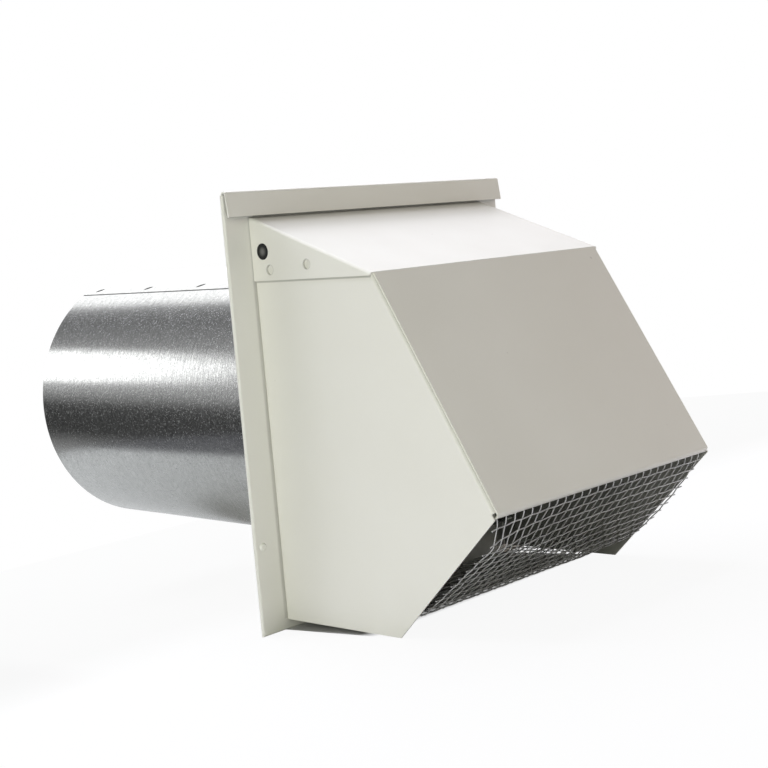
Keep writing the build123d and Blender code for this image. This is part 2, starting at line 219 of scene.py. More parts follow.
@dataclass(frozen=True)
class BakedPaint:
    """Almond white baked paint on thin steel."""

    name: str = "almond_baked_paint"
    colour: Colour = (0.735, 0.728, 0.672)
    shade: Colour = (0.700, 0.690, 0.630)
    speck: Colour = (0.46, 0.44, 0.40)
    speck_range: Span = (0.81, 0.86)
    speck_share: float = 0.6
    roughness: Span = (0.35, 0.45)
    cloud_per_metre: float = 9.0
    gloss_per_metre: float = 36.0
    grain_per_metre: float = 900.0
    grain_share: float = 0.14
    peel_per_metre: float = 420.0
    peel_depth: float = 0.012 * MM
    wave_per_metre: float = 11.0
    wave_depth: float = 0.5 * MM
    speck_per_metre: float = 260.0
    # Painted shade in the joints: its colour and strength.
    joint_shade: Colour = (0.24, 0.24, 0.21)
    joint_shade_share: float = 0.5
    tab_low: float = 71.4 * MM
    tab_face: float = 88.1 * MM
    tab_skin: float = 1.2 * MM
    under_drop: float = 0.4 * MM
    under_reach: Span = (0.3 * MM, 0.6 * MM)
    knee: float = -82.2 * MM
    plate_face: float = -2.3 * MM
    plate_skin: float = 0.3 * MM
    heel: float = -99.4 * MM
    joint_width: float = 1.1 * MM
    joint_share: float = 0.7
    cups: tuple[Span, ...] = ((-14.7 * MM, 76.7 * MM), (-41.1 * MM, 78.4 * MM))
    cup_r: float = 2.4 * MM
    cup_reach: Span = (0.1 * MM, 0.4 * MM)
    cup_share: float = 0.8

    def joints(self, graph: ShaderGraph) -> NodeSocket:
        """Painted shade under the tabs' lower edges, round the clinch cups and beside the hood on the plate.

        Args:
            graph: the material's tree.

        Returns:
            The painted shade's share in the joints, 0 outside them.
        """
        x, y, z = graph.axes(graph.coords)
        out = graph.math("ABSOLUTE", x)
        front = self.plate_face - self.plate_skin
        on_side = graph.math("GREATER_THAN", out, self.tab_face - self.tab_skin)
        below = graph.math("ABSOLUTE", graph.math("SUBTRACT", z, self.tab_low - self.under_drop))
        under = graph.spread(below, *self.under_reach, 1.0, 0.0)
        rims = graph.product(under, graph.math("GREATER_THAN", y, self.knee))
        for cup in self.cups:
            ring = graph.math("ABSOLUTE", graph.math("SUBTRACT", graph.away((y, z), cup), self.cup_r))
            rims = graph.math("MAXIMUM", rims, graph.spread(ring, *self.cup_reach, self.cup_share, 0.0))
        rims = graph.product(rims, on_side, graph.math("LESS_THAN", y, front))
        beside = graph.spread(out, self.tab_face, self.tab_face + self.joint_width, self.joint_share, 0.0)
        on_plate = graph.math("GREATER_THAN", y, front)
        above_heel = graph.math("GREATER_THAN", z, self.heel)
        beside = graph.product(beside, on_side, on_plate, above_heel)
        return graph.product(graph.math("MAXIMUM", rims, beside), self.joint_shade_share)

    def material(self) -> Material:
        """Paint with slow clouds, fine grain, a few dark specks, painted shade in the joints and a faint
        orange peel.

        Returns:
            The material.
        """
        graph = ShaderGraph(self.name)
        cloud = graph.spread(graph.noise(self.cloud_per_metre))
        base = graph.blend(cloud, self.colour, self.shade)
        grain = graph.spread(graph.noise(self.grain_per_metre, 2.0), at_high=self.grain_share)
        base = graph.blend(grain, base, self.shade)
        specks = graph.noise(self.speck_per_metre, 1.0)
        specks = graph.spread(specks, *self.speck_range, 0.0, self.speck_share)
        base = graph.blend(specks, base, self.speck)
        # Painted shade under the tabs, round the clinch cups and beside the hood.
        base = graph.blend(self.joints(graph), base, self.joint_shade)
        rough = graph.spread(graph.noise(self.gloss_per_metre), *NOISE_MIDDLE, *self.roughness)
        wave = graph.relief(graph.noise(self.wave_per_metre, 1.0), self.wave_depth)
        normal = graph.relief(graph.noise(self.peel_per_metre, 2.0), self.peel_depth, wave)
        return graph.surface(Base_Color=base, Roughness=rough, Normal=normal)


@dataclass(frozen=True)
class ZincCoat:
    """Hot-dip galvanised sheet with a fine spangle and marks of the rolls."""

    name: str
    light: Colour = (0.80, 0.805, 0.80)
    dark: Colour = (0.45, 0.46, 0.455)
    # Painted shade along the seam and in the press marks: its colour and roughness.
    seam_shade: Colour = (0.05, 0.05, 0.048)
    seam_shade_roughness: float = 0.6
    spangle_per_metre: float = 900.0
    spangle_share: float = 0.25
    spangle_depth: float = 0.016 * MM
    mottle_per_metre: float = 420.0
    mottle_range: Span = (0.3, 0.72)
    mottle_share: float = 0.4
    streak_along: float = 900.0
    streak_around: float = 90.0
    streak_range: Span = (0.25, 0.75)
    streak_share: float = 0.35
    streak_depth: float = 0.014 * MM
    patch_range: Span = (0.2, 0.8)
    roughness: Span = (0.21, 0.12)
    bloom_per_metre: float = 860.0
    bare_range: Span = (0.4, 0.64)
    dull: float = 0.88
    speck_range: Span = (0.42, 0.74)
    speck_roughness: float = 0.4
    dent_per_metre: float = 13.0
    dent_depth: float = 0.25 * MM
    scratch_scale: Colour = (24.0, 216.0, 48.0)
    scratch_range: Span = (0.735, 0.75)
    scratch_share: float = 0.35
    seamed: bool = False
    pipe_r: float = 77.2 * MM
    seam_angle: float = 31.0
    # Painted shade along the seam and in the press marks: band width, mark places, sizes and strength.
    seam_shade_width: float = 0.85 * MM
    seam_share: float = 0.85
    mark_offset: float = 4.7 * MM
    mark_pitch: float = 50.0 * MM
    mark_first: float = 5.7 * MM
    mark_half_length: float = 3.7 * MM
    mark_half_width: float = 1.3 * MM
    mark_slant: float = 25.0
    mark_edge: Span = (0.35, 1.1)
    mark_share: float = 0.9

    def painted_seam_shade(self, graph: ShaderGraph) -> NodeSocket:
        """Painted shade along the lap seam and in the slanted press marks beside it.

        Args:
            graph: the material's tree.

        Returns:
            The painted shade's share, 0 outside it.
        """
        x, y, z = graph.axes(graph.coords)
        turn = graph.math("ARCTAN2", graph.math("MULTIPLY", x, -1.0), z)
        arc = graph.product(graph.math("SUBTRACT", turn, math.radians(self.seam_angle)), self.pipe_r)
        off_seam = graph.math("ABSOLUTE", arc)
        line = graph.spread(off_seam, self.seam_shade_width / 3, self.seam_shade_width, self.seam_share, 0.0)
        half_pitch = 0.5 * self.mark_pitch
        first = graph.math("SUBTRACT", y, self.mark_first - half_pitch)
        along = graph.math("SUBTRACT", graph.math("MODULO", first, self.mark_pitch), half_pitch)
        across = graph.math("ADD", arc, self.mark_offset)
        slant = math.radians(self.mark_slant)
        lean_cos, lean_sin = math.cos(slant), math.sin(slant)
        length_way = graph.math("ADD", graph.product(along, lean_cos), graph.product(across, lean_sin))
        width_way = graph.math("SUBTRACT", graph.product(across, lean_cos), graph.product(along, lean_sin))
        far = graph.math("POWER", graph.math("DIVIDE", length_way, self.mark_half_length), 2.0)
        wide = graph.math("POWER", graph.math("DIVIDE", width_way, self.mark_half_width), 2.0)
        mark = graph.spread(graph.math("ADD", far, wide), *self.mark_edge, self.mark_share, 0.0)
        return graph.math("MAXIMUM", line, mark)

    def material(self) -> Material:
        """Zinc with cells of their own brightness, roll marks, pale specks and a few scratches.

        Returns:
            The material.
        """
        graph = ShaderGraph(self.name)
        cells = graph.cells(self.spangle_per_metre)
        mottle = graph.spread(graph.noise(self.mottle_per_metre, 4.0, 0.7), *self.mottle_range)
        around = graph.stretched((self.streak_around, self.streak_along, self.streak_around))
        streak = graph.spread(graph.noise(1.0, 3.0, 0.6, around), *self.streak_range)
        patch = graph.product(cells, self.spangle_share)
        patch = graph.math("ADD", patch, graph.product(mottle, self.mottle_share))
        patch = graph.math("ADD", patch, graph.product(streak, self.streak_share))
        base = graph.blend(patch, self.dark, self.light)
        slanted = graph.stretched(self.scratch_scale)
        scratch = graph.spread(graph.noise(1.0, 1.0, 0.5, slanted), *self.scratch_range)
        base = graph.blend(graph.product(scratch, self.scratch_share), base, self.light)
        dents = graph.relief(graph.noise(self.dent_per_metre, 1.0), self.dent_depth)
        grain = graph.relief(cells, self.spangle_depth, dents)
        normal = graph.relief(streak, self.streak_depth, grain)
        bloom = graph.noise(self.bloom_per_metre, 3.0, 0.75)
        bare = graph.spread(bloom, *self.bare_range, 1.0, self.dull)
        rough = graph.spread(patch, *self.patch_range, *self.roughness)
        specks = graph.spread(bloom, *self.speck_range, 0.0, self.speck_roughness)
        rough = graph.math("MAXIMUM", rough, specks)
        # Painted shade along the lap seam and in the press marks.
        if self.seamed:
            painted_seam_shade = self.painted_seam_shade(graph)
            base = graph.blend(painted_seam_shade, base, self.seam_shade)
            rough = graph.math("MAXIMUM", rough, graph.product(painted_seam_shade, self.seam_shade_roughness))
        return graph.surface(Base_Color=base, Metallic=bare, Roughness=rough, Normal=normal)


@dataclass(frozen=True)
class BackerCoatAndShade:
    """Thin grey backer coat on the hidden side of the painted steel, made darker as painted shade for the
    inside of the hood.
    """

    name: str = "grey_backer_coat"
    # Grey backer colour, darkened as painted shade for the inside of the hood.
    colour: Colour = (0.34, 0.34, 0.315)
    shade: Colour = (0.245, 0.245, 0.228)
    cloud_per_metre: float = 24.0
    grain_per_metre: float = 700.0
    grain_depth: float = 0.01 * MM
    roughness: Span = (0.38, 0.52)

    def material(self) -> Material:
        """Dull grey with slow clouds and a fine grain.

        Returns:
            The material.
        """
        graph = ShaderGraph(self.name)
        base = graph.blend(graph.spread(graph.noise(self.cloud_per_metre)), self.colour, self.shade)
        grain = graph.noise(self.grain_per_metre, 2.0)
        rough = graph.spread(grain, *NOISE_MIDDLE, *self.roughness)
        return graph.surface(Base_Color=base, Roughness=rough, Normal=graph.relief(grain, self.grain_depth))


@dataclass(frozen=True)
class SeamShade:
    """Painted shade on the walls and floors of the pipe's seam slot and press marks."""

    name: str = "seam_grime"
    colour: Colour = (0.035, 0.035, 0.034)
    worn: Colour = (0.10, 0.10, 0.098)
    grain_per_metre: float = 900.0
    grain_range: Span = (0.35, 0.7)
    roughness: Span = (0.6, 0.8)

    def material(self) -> Material:
        """Dark, dull and a little uneven.

        Returns:
            The material.
        """
        graph = ShaderGraph(self.name)
        grain = graph.spread(graph.noise(self.grain_per_metre), *self.grain_range)
        base = graph.blend(grain, self.colour, self.worn)
        return graph.surface(Base_Color=base, Roughness=graph.spread(grain, 0.0, 1.0, *self.roughness))


@dataclass(frozen=True)
class DrawnWire:
    """Galvanised drawn wire."""

    name: str = "galvanised_drawn_wire"
    light: Colour = (0.78, 0.78, 0.76)
    dark: Colour = (0.42, 0.42, 0.41)
    tone_per_metre: float = 60.0
    tone_share: float = 0.7
    grain_per_metre: float = 1500.0
    grain_share: float = 0.3
    grain_depth: float = 0.01 * MM
    roughness: Span = (0.34, 0.55)
    metal: float = 0.85

    def material(self) -> Material:
        """Dull zinc with changing tone along the wires.

        Returns:
            The material.
        """
        graph = ShaderGraph(self.name)
        tone = graph.spread(graph.noise(self.tone_per_metre), at_high=self.tone_share)
        grain = graph.noise(self.grain_per_metre, 2.0)
        share = graph.math("ADD", tone, graph.product(grain, self.grain_share))
        base = graph.blend(share, self.dark, self.light)
        rough = graph.spread(grain, *NOISE_MIDDLE, *self.roughness)
        normal = graph.relief(grain, self.grain_depth)
        return graph.surface(Base_Color=base, Metallic=self.metal, Roughness=rough, Normal=normal)


@dataclass(frozen=True)
class BlackNylon:
    """Moulded black nylon."""

    name: str = "black_nylon"
    colour: Colour = (0.006, 0.006, 0.006)
    worn: Colour = (0.02, 0.02, 0.022)
    # Painted highlight over the rod's end: its colour, centre and reach.
    middle: Colour = (0.13, 0.13, 0.125)
    pivot: Span = (-10.5 * MM, 85.8 * MM)
    pivot_highlight_reach: Span = (0.8 * MM, 2.6 * MM)
    grain_per_metre: float = 1200.0
    grain_depth: float = 0.02 * MM
    roughness: Span = (0.35, 0.5)
    specular: float = 0.2

    def material(self) -> Material:
        """Dark plastic with a fine moulded grain, and a paler painted highlight over the rod's end.

        Returns:
            The material.
        """
        graph = ShaderGraph(self.name)
        grain = graph.noise(self.grain_per_metre)
        base = graph.blend(graph.spread(grain), self.colour, self.worn)
        _, y, z = graph.axes(graph.coords)
        # Painted highlight: paler disc round the pivot.
        painted_highlight = graph.spread(graph.away((y, z), self.pivot), *self.pivot_highlight_reach, 1.0, 0.0)
        base = graph.blend(painted_highlight, base, self.middle)
        rough = graph.spread(grain, *NOISE_MIDDLE, *self.roughness)
        normal = graph.relief(grain, self.grain_depth)
        return graph.surface(
            Base_Color=base, Roughness=rough, Normal=normal, Specular_IOR_Level=self.specular
        )


def put_in_scene(name: str, mesh: Mesh) -> Object:
    """Adds a mesh to the scene with its place in its vertices.

    Args:
        name: the piece's name.
        mesh: its mesh.

    Returns:
        The new object, at the origin.
    """
    piece = bpy.data.objects.new(name, mesh)
    bpy.context.scene.collection.objects.link(piece)
    return piece


def evaluated_mesh(piece: Object) -> Mesh:
    """Plain mesh of an object with its modifiers applied."""
    graph = bpy.context.evaluated_depsgraph_get()
    return bpy.data.meshes.new_from_object(piece.evaluated_get(graph), depsgraph=graph)


def dress(node: str, material: Material) -> None:
    """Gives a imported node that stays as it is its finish.

    Args:
        node: the node's name.
        material: its finish.
    """
    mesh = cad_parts[node].data
    mesh.materials.clear()
    mesh.materials.append(material)
    LOG.info("%s keeps its own mesh", node)


def welded_copy(node: str, name: str, finishes: tuple[Material, ...], flatten: float = 0.0) -> Mesh:
    """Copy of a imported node's mesh with its doubled corners joined.

    Args:
        node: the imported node.
        name: the copy's name.
        finishes: its materials.
        flatten: angle in degrees up to which facets are joined to one face, none at 0.

    Returns:
        The copy.
    """
    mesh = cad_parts[node].data.copy()
    mesh.name = name
    work = bmesh.new()
    work.from_mesh(mesh)
    bmesh.ops.remove_doubles(work, verts=work.verts, dist=WELD)
    if flatten:
        bmesh.ops.dissolve_limit(work, angle_limit=math.radians(flatten), verts=work.verts, edges=work.edges)
        bmesh.ops.triangulate(work, faces=[f for f in work.faces if len(f.verts) > 4])
    work.to_mesh(mesh)
    work.free()
    mesh.materials.clear()
    for finish in finishes:
        mesh.materials.append(finish)
    return mesh


def apply_modifier(piece: Object, kind: str, settings: dict[str, object]) -> None:
    """Gives a piece the mesh that one modifier makes of it.

    Args:
        piece: the piece.
        kind: the modifier's type.
        settings: its properties.
    """
    modifier = piece.modifiers.new(kind, kind)
    for name, value in settings.items():
        setattr(modifier, name, value)
    mesh = evaluated_mesh(piece)
    piece.modifiers.remove(modifier)
    piece.data = mesh


def hand_over(piece: Object, node: str) -> None:
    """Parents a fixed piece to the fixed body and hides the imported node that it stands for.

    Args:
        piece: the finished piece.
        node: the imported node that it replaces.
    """
    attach(piece, FIXED_BODY)
    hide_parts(node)
    LOG.info("%s: %d faces", piece.name, len(piece.data.polygons))


@dataclass
class SheetCopy:
    """A folded sheet with its cut edges and corners slightly broken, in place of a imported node."""

    node: str
    name: str
    paint: Material
    backer_and_shade: Material
    inside: Vector
    cups: bool = True
    wall_limit: float = 87.9 * MM
    edge_round: float = 0.1 * MM
    thin: float = 0.9
    wall_zone: float = 85.5 * MM
    crease: float = 32.0
    round_segments: int = 2
    flat_angle: float = 0.5
    sharp_angle: float = 50.0
    normal_weight: int = 90

    def finish_of(self, face: MeshPolygon) -> int:
        """Which finish a face of the sheet has.

        Args:
            face: the face.

        Returns:
            1 for the grey backer, darkened as painted shade, on faces that look at the middle of the inside,
            0 for the paint.
        """
        way = self.inside - face.center
        sideways = abs(face.normal.x) > self.thin
        if sideways:
            return 1 if face.normal.x * way.x > 0 and abs(face.center.x) < self.wall_limit else 0
        if self.cups and abs(face.center.x) > self.wall_zone:
            return 0
        return 1 if face.normal.dot(way.normalized()) > 0.0 else 0

    def build(self) -> None:
        """Makes the piece and hands it to the frame."""
        mesh = welded_copy(self.node, self.name, (self.paint, self.backer_and_shade), self.flat_angle)
        for polygon in mesh.polygons:
            polygon.use_smooth = True
            polygon.material_index = self.finish_of(polygon)
        piece = put_in_scene(self.name, mesh)
        broken_edges = {
            "width": self.edge_round,
            "segments": self.round_segments,
            "limit_method": "ANGLE",
            "angle_limit": math.radians(self.crease),
            "harden_normals": False,
            "use_clamp_overlap": True,
        }
        apply_modifier(piece, "BEVEL", broken_edges)
        piece.data.set_sharp_from_angle(angle=math.radians(self.sharp_angle))
        apply_modifier(piece, "WEIGHTED_NORMAL", {"keep_sharp": True, "weight": self.normal_weight})
        hand_over(piece, self.node)


@dataclass
class Flange:
    """Wall plate with its rim and drip lip."""

    paint: Material
    backer_and_shade: Material
    behind_wall: Vector = field(default_factory=lambda: Vector((0.0, 400.0, 0.0)) * MM)

    def build(self) -> None:
        """Makes the plate."""
        SheetCopy("wall_plate", "flange_plate", self.paint, self.backer_and_shade, self.behind_wall, cups=False).build()


@dataclass
class Hood:
    """Side walls and cover of the hood."""

    paint: Material
    backer_and_shade: Material
    sides: tuple[str, ...] = ("left", "right")
    chamber: Vector = field(default_factory=lambda: Vector((0.0, -45.0, -30.0)) * MM)

    def build(self) -> None:
        """Makes both side walls and the cover."""
        for side in self.sides:
            SheetCopy(f"hood_side_{side}", f"side_wall_{side}", self.paint, self.backer_and_shade, self.chamber).build()
        SheetCopy("hood_cover", "roof_and_front", self.paint, self.backer_and_shade, self.chamber).build()


@dataclass
class TailPipe:
    """Lap-seamed galvanised pipe, smooth all round."""

    zinc: Material
    # Painted shade for the faces of the seam's slot and press marks.
    seam_shade: Material
    node: str = "tail_pipe"
    name: str = "lap_seamed_pipe"
    round_limit: float = 0.94
    flat_limit: float = 0.2
    steep: float = 0.7
    end_face: float = 0.999
    outer_r: float = 77.2 * MM
    wall: float = 0.35 * MM
    seam_angle: float = 31.0
    seam_spread: float = 7.5
    seam_start: float = 2.0 * MM
    skin_play: float = 0.03 * MM

    def in_seam(self, face: MeshPolygon) -> bool:
        """Whether a face is a wall or the floor of the seam's slot or of a press mark.

        Args:
            face: the face.

        Returns:
            True near the seam where the face isn't part of the pipe's two skins.
        """
        spot = face.center
        if spot.y < self.seam_start:
            return False
        angle = math.degrees(math.atan2(-spot.x, spot.z))
        if abs(angle - self.seam_angle) > self.seam_spread:
            return False
        out = Vector((spot.x, 0.0, spot.z))
        depth = self.outer_r - out.length
        steep = abs(face.normal.dot(out.normalized())) < self.steep
        across = steep and abs(face.normal.y) < self.end_face
        floor = face.normal.dot(out) > 0 and depth > self.wall - self.skin_play
        return (across or floor) and depth < 2 * self.wall

    def round_normal(self, corner: Vector, facet: Vector) -> Vector:
        """Normal of the true round surface at a facet's corner.

        Args:
            corner: the corner's place.
            facet: the facet's own normal.

        Returns:
            The facet's normal turned to the corner's own angle round the pipe, or left alone on flat faces.
        """
        out = Vector((corner.x, 0.0, corner.z)).normalized()
        flat = Vector((facet.x, 0.0, facet.z))
        if flat.length < self.flat_limit:
            return facet
        share = flat.normalized().dot(out)
        if abs(share) < self.round_limit:
            return facet
        side = 1.0 if share > 0 else -1.0
        turned = out * (side * flat.length)
        return Vector((turned.x, facet.y, turned.z)).normalized()

    def build(self) -> None:
        """Makes the pipe with the normals of a true round."""
        mesh = welded_copy(self.node, self.name, (self.zinc, self.seam_shade))
        normals: list[Vector] = []
        for polygon in mesh.polygons:
            polygon.use_smooth = True
            # Faces in the seam's slot and press marks take the painted seam shade.
            polygon.material_index = 1 if self.in_seam(polygon) else 0
            for index in polygon.vertices:
                normals.append(self.round_normal(mesh.vertices[index].co, polygon.normal))
        mesh.normals_split_custom_set(normals)
        hand_over(put_in_scene(self.name, mesh), self.node)


class FieldTree(Graph):
    """Builder for a geometry node tree."""

    def __init__(self, name: str) -> None:
        """Starts a tree with its input and output.

        Args:
            name: the tree's name.
        """
        super().__init__(bpy.data.node_groups.new(name, "GeometryNodeTree"))
        self.sockets: dict[str, str] = {}
        self.input("Geometry", "NodeSocketGeometry")
        self.tree.interface.new_socket("Geometry", in_out="OUTPUT", socket_type="NodeSocketGeometry")
        self.entry = self.node("NodeGroupInput")
        self.exit = self.node("NodeGroupOutput")

    def input(self, name: str, kind: str = "NodeSocketFloat") -> None:
        """Adds an input by its name and the socket's type."""
        socket = self.tree.interface.new_socket(name, in_out="INPUT", socket_type=kind)
        self.sockets[name] = socket.identifier

    def given(self, name: str) -> NodeSocket:
        """Output of the tree's input node with that name."""
        return self.entry.outputs[name]

    def vector_math(self, operation: str, *values: object) -> NodeSocket:
        """One step on vectors.

        Args:
            operation: its name.
            values: outputs, vectors, or a number for a scale.

        Returns:
            The result, a number for a dot product.
        """
        made = self.node("ShaderNodeVectorMath", {"operation": operation})
        sockets = [made.inputs[0], made.inputs["Scale"]] if operation == "SCALE" else made.inputs
        for socket, value in zip(sockets, values):
            self.put(socket, value)
        return made.outputs["Value" if operation == "DOT_PRODUCT" else "Vector"]

    def vector(self, x: object, y: object, z: object) -> NodeSocket:
        """Vector of three numbers."""
        return self.node("ShaderNodeCombineXYZ", X=x, Y=y, Z=z).outputs["Vector"]


@dataclass
class WireCloth:
    """Woven quarter inch wire cloth in the hood's mouth, folded along the hood's side walls."""

    wire: Material
    node: str = "wire_screen"
    name: str = "woven_screen"
    pitch: float = 6.35 * MM
    wire_width: float = 0.65 * MM
    long_wires: int = 27
    first_x: float = -82.0 * MM
    overhang: float = 3.4 * MM
    fold: float = 3.0 * MM
    steps: int = 4
    sides: int = 6
    crossing: float = 0.16 * MM
    ridge_height: float = 6.8 * MM
    ridge_start: float = 12.0 * MM
    ridge_slope: float = 0.43
    ridge_reach: float = 190.0 * MM
    ridge_tail: float = 12.0 * MM
    bow_right: float = 4.2 * MM
    front_length: float = 69.2 * MM
    wander: float = 0.4 * MM
    wander_scale: float = 30.0
    ridge_soft: float = 0.08
    fold_steps: int = 4
    seed: int = 7
    seed_step: float = 1.37
    route: tuple[Span, ...] = ((-138.9, -32.3), (-142.1, -37.8), (-92.7, -86.3), (-29.4, -91.8))

    def lengths(self) -> dict[str, float]:
        """Lengths that the tree takes, by the names of its inputs."""
        return {
            "Pitch": self.pitch,
            "Wire Width": self.wire_width,
            "First X": self.first_x,
            "Overhang": self.overhang,
            "Fold": self.fold,
            "Crossing": self.crossing,
            "Ridge Height": self.ridge_height,
            "Ridge Start": self.ridge_start,
            "Ridge Reach": self.ridge_reach,
            "Bow Right": self.bow_right,
            "Front Length": self.front_length,
            "Wander": self.wander,
        }

    def route_curve(self) -> Object:
        """Curve through the corners of the cloth's middle line.

        Returns:
            A temporary object with one open line.
        """
        curve = bpy.data.curves.new("cloth_route", "CURVE")
        curve.dimensions = "3D"
        line = curve.splines.new("POLY")
        line.points.add(len(self.route) - 1)
        for point, (y, z) in zip(line.points, self.route):
            point.co = (0.0, y * MM, z * MM, 1.0)
        piece = bpy.data.objects.new("cloth_route", curve)
        bpy.context.scene.collection.objects.link(piece)
        return piece

    def tube(self, tree: FieldTree, line: NodeSocket) -> NodeSocket:
        """Round wire along a line.

        Args:
            tree: the tree.
            line: the line.

        Returns:
            Its mesh.
        """
        section = tree.node(
            "GeometryNodeCurvePrimitiveCircle",
            Resolution=self.sides,
            Radius=tree.product(tree.given("Wire Width"), 0.5),
        )
        swept = tree.node(
            "GeometryNodeCurveToMesh",
            Curve=line,
            Profile_Curve=section.outputs["Curve"],
            Fill_Caps=True,
        )
        return swept.outputs["Mesh"]

    def waved(
        self,
        tree: FieldTree,
        line: NodeSocket,
        distance: NodeSocket,
        direction: NodeSocket,
        turn: float,
    ) -> NodeSocket:
        """Line that goes over and under the wires that it crosses.

        Args:
            tree: the tree.
            line: the straight line.
            distance: distance along it from its first crossing.
            direction: normal of the cloth.
            turn: phase, 0 or half a turn.

        Returns:
            The waved line.
        """
        phase = tree.math("MULTIPLY", tree.math("DIVIDE", distance, tree.given("Pitch")), math.pi)
        height = tree.math("COSINE", tree.math("ADD", phase, turn))
        lift = tree.math("MULTIPLY", height, tree.given("Crossing"))
        moved = tree.node(
            "GeometryNodeSetPosition", Geometry=line, Offset=tree.vector_math("SCALE", direction, lift)
        )
        return moved.outputs["Geometry"]

    def picked(
        self,
        tree: FieldTree,
        points: NodeSocket,
        kinds: list[NodeSocket],
        rotation: object = None,
    ) -> NodeSocket:
        """Wires of alternate kinds on a row of points.

        Args:
            tree: the tree.
            points: where they go.
            kinds: the two kinds of wire.
            rotation: how each is turned, if it is.

        Returns:
            The instances.
        """
        pair = tree.node("GeometryNodeGeometryToInstance")
        for kind in reversed(kinds):
            tree.put(pair.inputs["Geometry"], kind)
        index = tree.node("GeometryNodeInputIndex").outputs["Index"]
        made = tree.node(
            "GeometryNodeInstanceOnPoints",
            Points=points,
            Instance=pair.outputs["Instances"],
            Pick_Instance=True,
            Instance_Index=tree.math("MODULO", index, 2.0),
        )
        if rotation is not None:
            tree.put(made.inputs["Rotation"], rotation)
        return made.outputs["Instances"]

    def long_set(self, tree: FieldTree, route: NodeSocket) -> NodeSocket:
        """Wires that follow the fold, side by side.

        Args:
            tree: the tree.
            route: the cloth's middle line.

        Returns:
            Instances of all of them.
        """
        step = tree.math("DIVIDE", tree.given("Pitch"), float(self.steps))
        fine = tree.node("GeometryNodeResampleCurve", {"mode": "LENGTH"}, Curve=route, Length=step)
        length = tree.node("GeometryNodeSplineParameter").outputs["Length"]
        tangent = tree.node("GeometryNodeInputTangent").outputs["Tangent"]
        normal = tree.vector_math("CROSS_PRODUCT", (1.0, 0.0, 0.0), tangent)
        from_first = tree.math("SUBTRACT", length, tree.math("MULTIPLY", tree.given("Pitch"), 0.5))
        kinds = [
            self.tube(tree, self.waved(tree, fine.outputs["Curve"], from_first, normal, turn))
            for turn in (0.0, math.pi)
        ]
        index = tree.node("GeometryNodeInputIndex").outputs["Index"]
        across = tree.math("ADD", tree.given("First X"), tree.math("MULTIPLY", index, tree.given("Pitch")))
        points = tree.node(
            "GeometryNodePoints", Count=tree.given("Long Wires"), Position=tree.vector(across, 0.0, 0.0)
        )
        return self.picked(tree, points.outputs[0], kinds)

    def cross_set(self, tree: FieldTree, route: NodeSocket) -> NodeSocket:
        """Straight wires across the hood, one in each row of the cloth.

        Args:
            tree: the tree.
            route: the cloth's middle line.

        Returns:
            Instances of all of them.
        """
        count = tree.math("SUBTRACT", tree.given("Long Wires"), 1.0)
        span = tree.math("MULTIPLY", tree.given("Pitch"), count)
        low = tree.math("SUBTRACT", tree.given("First X"), tree.given("Overhang"))
        high = tree.math("ADD", tree.math("ADD", tree.given("First X"), span), tree.given("Overhang"))
        straight = tree.node(
            "GeometryNodeCurvePrimitiveLine",
            Start=tree.vector(low, 0.0, 0.0),
            End=tree.vector(high, 0.0, 0.0),
        )
        step = tree.math("DIVIDE", tree.given("Pitch"), float(self.steps))
        fine = tree.node(
            "GeometryNodeResampleCurve", {"mode": "LENGTH"}, Curve=straight.outputs["Curve"], Length=step
        )
        place = tree.node("GeometryNodeInputPosition").outputs["Position"]
        along = tree.node("ShaderNodeSeparateXYZ", Vector=place).outputs["X"]
        from_first = tree.math("SUBTRACT", along, tree.given("First X"))
        upward = tree.vector(0.0, 0.0, 1.0)
        kinds = [
            self.tube(tree, self.waved(tree, fine.outputs["Curve"], from_first, upward, turn))
            for turn in (math.pi, 0.0)
        ]
        half = tree.math("MULTIPLY", tree.given("Pitch"), 0.5)
        whole = tree.node("GeometryNodeCurveLength", Curve=route).outputs["Length"]
        trimmed = tree.node("GeometryNodeTrimCurve", {"mode": "LENGTH"}, Curve=route)
        tree.put(trimmed.inputs[4], half)
        tree.put(trimmed.inputs[5], whole)
        rows = tree.node(
            "GeometryNodeCurveToPoints",
            {"mode": "LENGTH"},
            Curve=trimmed.outputs["Curve"],
            Length=tree.given("Pitch"),
        )
        turned = tree.node(
            "FunctionNodeAlignRotationToVector",
            {"axis": "Y", "pivot_axis": "X"},
            Vector=rows.outputs["Tangent"],
        )
        return self.picked(tree, rows.outputs["Points"], kinds, turned.outputs["Rotation"])

